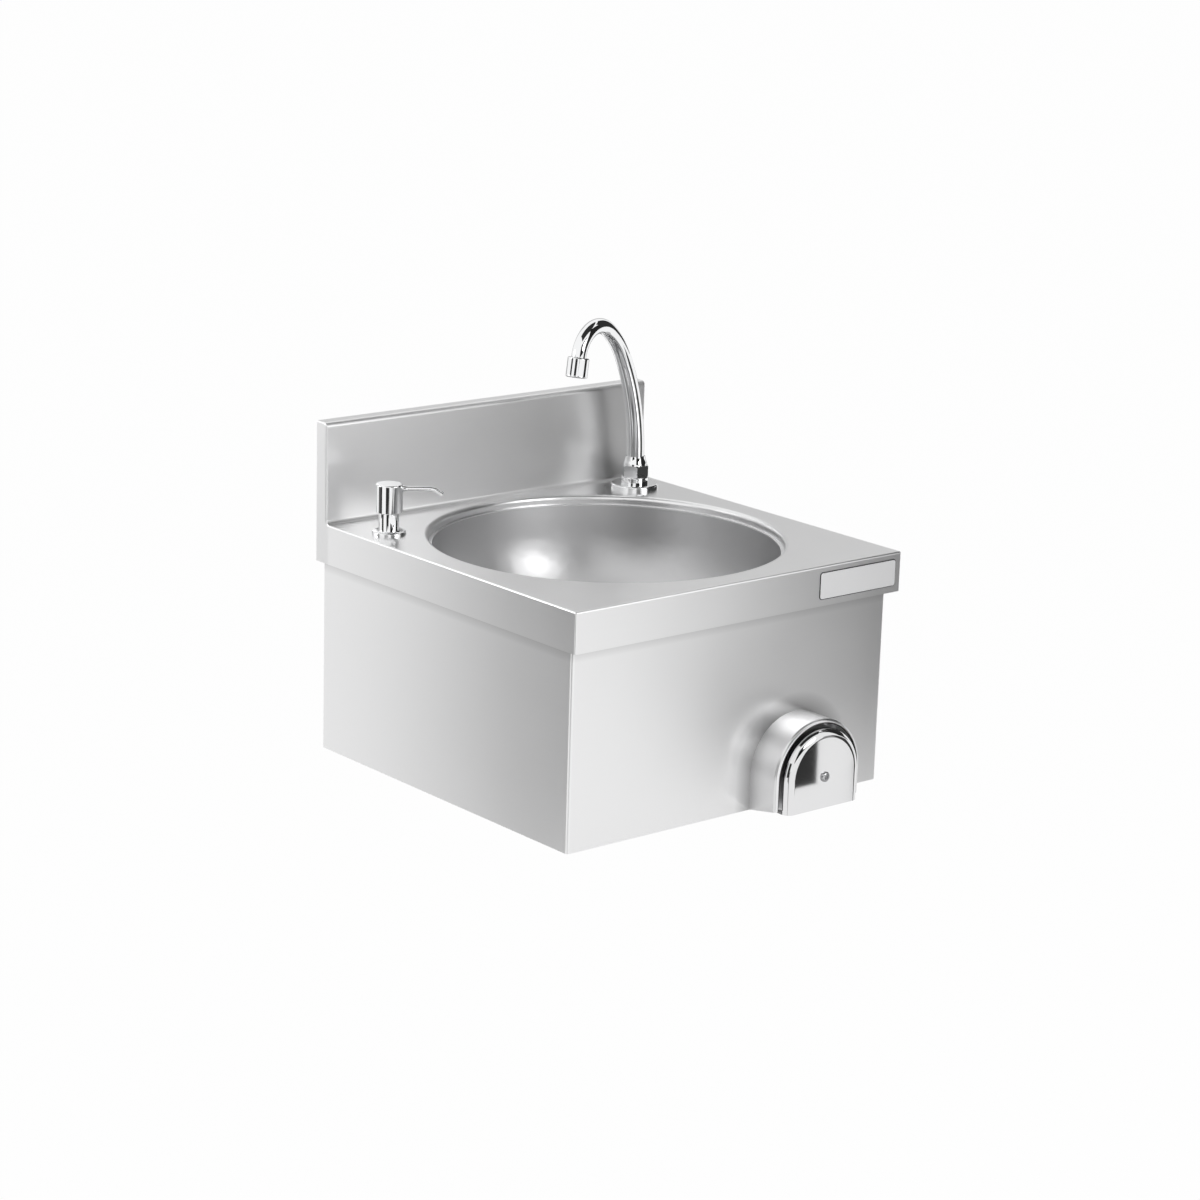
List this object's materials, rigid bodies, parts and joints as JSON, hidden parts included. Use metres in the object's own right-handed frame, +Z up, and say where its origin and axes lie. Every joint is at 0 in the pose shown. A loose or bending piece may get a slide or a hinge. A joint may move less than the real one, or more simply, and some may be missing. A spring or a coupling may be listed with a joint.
{
  "type": "hand wash basin",
  "caption": "Wall-hung square stainless steel hand wash basin with round bowl, splashback, swivel gooseneck spout, soap pump and knee-operated valve",
  "frame": {"origin": "on the wall plane, midway between the two wall screws of the hanging rail, 50 mm above the deck", "axes": "+X to the right seen from the front, +Y into the wall, +Z up"},
  "size_m": [0.4, 0.4358, 0.4262],
  "materials": {
    "satin_steel": "satin ground stainless sheet",
    "bowl_steel": "satin spun stainless",
    "polished_steel": "mirror-polished stainless",
    "rail_steel": "mill-finish stainless",
    "chrome": "bright chrome plating",
    "brass": "machined brass",
    "hose_braid": "woven stainless braid",
    "rubber": "black nitrile",
    "white_plastic": "natural polyethylene",
    "black_plastic": "moulded black"
  },
  "bodies": {
    "basin": {"deck_pan": "satin_steel", "bowl": "bowl_steel", "skirt_panel": "satin_steel", "skirt_screws": "rail_steel", "skirt_nuts": "rail_steel", "hanging_rail": "rail_steel", "knee_collar": "satin_steel", "collar_screws": "rail_steel", "collar_nuts": "rail_steel", "valve_body": "brass", "valve_locknut": "brass", "rod_seal": "rubber", "valve_spring": "rail_steel", "valve_cap": "brass", "mixer_body": "brass", "hot_check_valve": "brass", "cold_check_valve": "brass", "hot_check_disc": "white_plastic", "cold_check_disc": "white_plastic", "mixer_cartridge": "brass", "mixer_bracket": "rail_steel", "link_pipe": "brass", "link_nuts": "brass", "spout_hose": "hose_braid", "hose_nuts": "brass", "spout_base": "chrome", "base_gasket": "rubber", "spout_shank": "chrome", "spout_nut": "chrome", "spout_washer": "rubber", "spout_locknut": "brass", "soap_collar": "chrome", "soap_ring_nut": "black_plastic", "soap_bottle": "white_plastic", "pump_cylinder": "white_plastic", "dip_tube": "white_plastic", "pump_spring": "rail_steel", "waste_grating": "polished_steel", "waste_screw": "polished_steel", "waste_top_gasket": "rubber", "waste_gasket": "rubber", "waste_body": "black_plastic"},
    "spout": {"gooseneck_spout": "chrome", "retaining_ring": "rail_steel", "spout_orings": "rubber", "aerator_housing": "chrome", "aerator_insert": "white_plastic"},
    "knee_push": {"knee_pusher": "polished_steel", "pusher_screw": "polished_steel", "push_rod": "polished_steel", "valve_poppet": "brass", "poppet_washer": "rubber"},
    "pump_plunger": {"pump_stem": "white_plastic"},
    "pump_button": {"pump_head": "chrome", "soap_nozzle": "chrome"},
    "mixer_handle": {"mixer_knob": "black_plastic", "mixer_spindle": "brass"}
  },
  "joints": [
    {"name": "spout_swivel", "type": "hinge", "parent": "basin", "child": "spout", "pos_m": [0.157, -0.054, -0.03], "axis": [0, 0, 1], "range_deg": [-38, 184]},
    {"name": "knee_press", "type": "slide", "parent": "basin", "child": "knee_push", "axis": [0, 1, 0], "range_m": [0, 0.01], "stiffness_N_per_m": 1500, "springref_m": -0.006, "deforming": ["valve_spring"]},
    {"name": "pump_press", "type": "slide", "parent": "basin", "child": "pump_plunger", "axis": [0, 0, -1], "range_m": [0, 0.014], "stiffness_N_per_m": 400, "springref_m": -0.008, "deforming": ["pump_spring"]},
    {"name": "pump_turn", "type": "hinge", "parent": "pump_plunger", "child": "pump_button", "pos_m": [-0.169, -0.0765, -0.01], "axis": [0, 0, 1], "continuous": true},
    {"name": "mixer_turn", "type": "hinge", "parent": "basin", "child": "mixer_handle", "pos_m": [-0.07, -0.339, -0.245], "axis": [1, 0, 0], "range_deg": [-90, 90]}
  ]
}
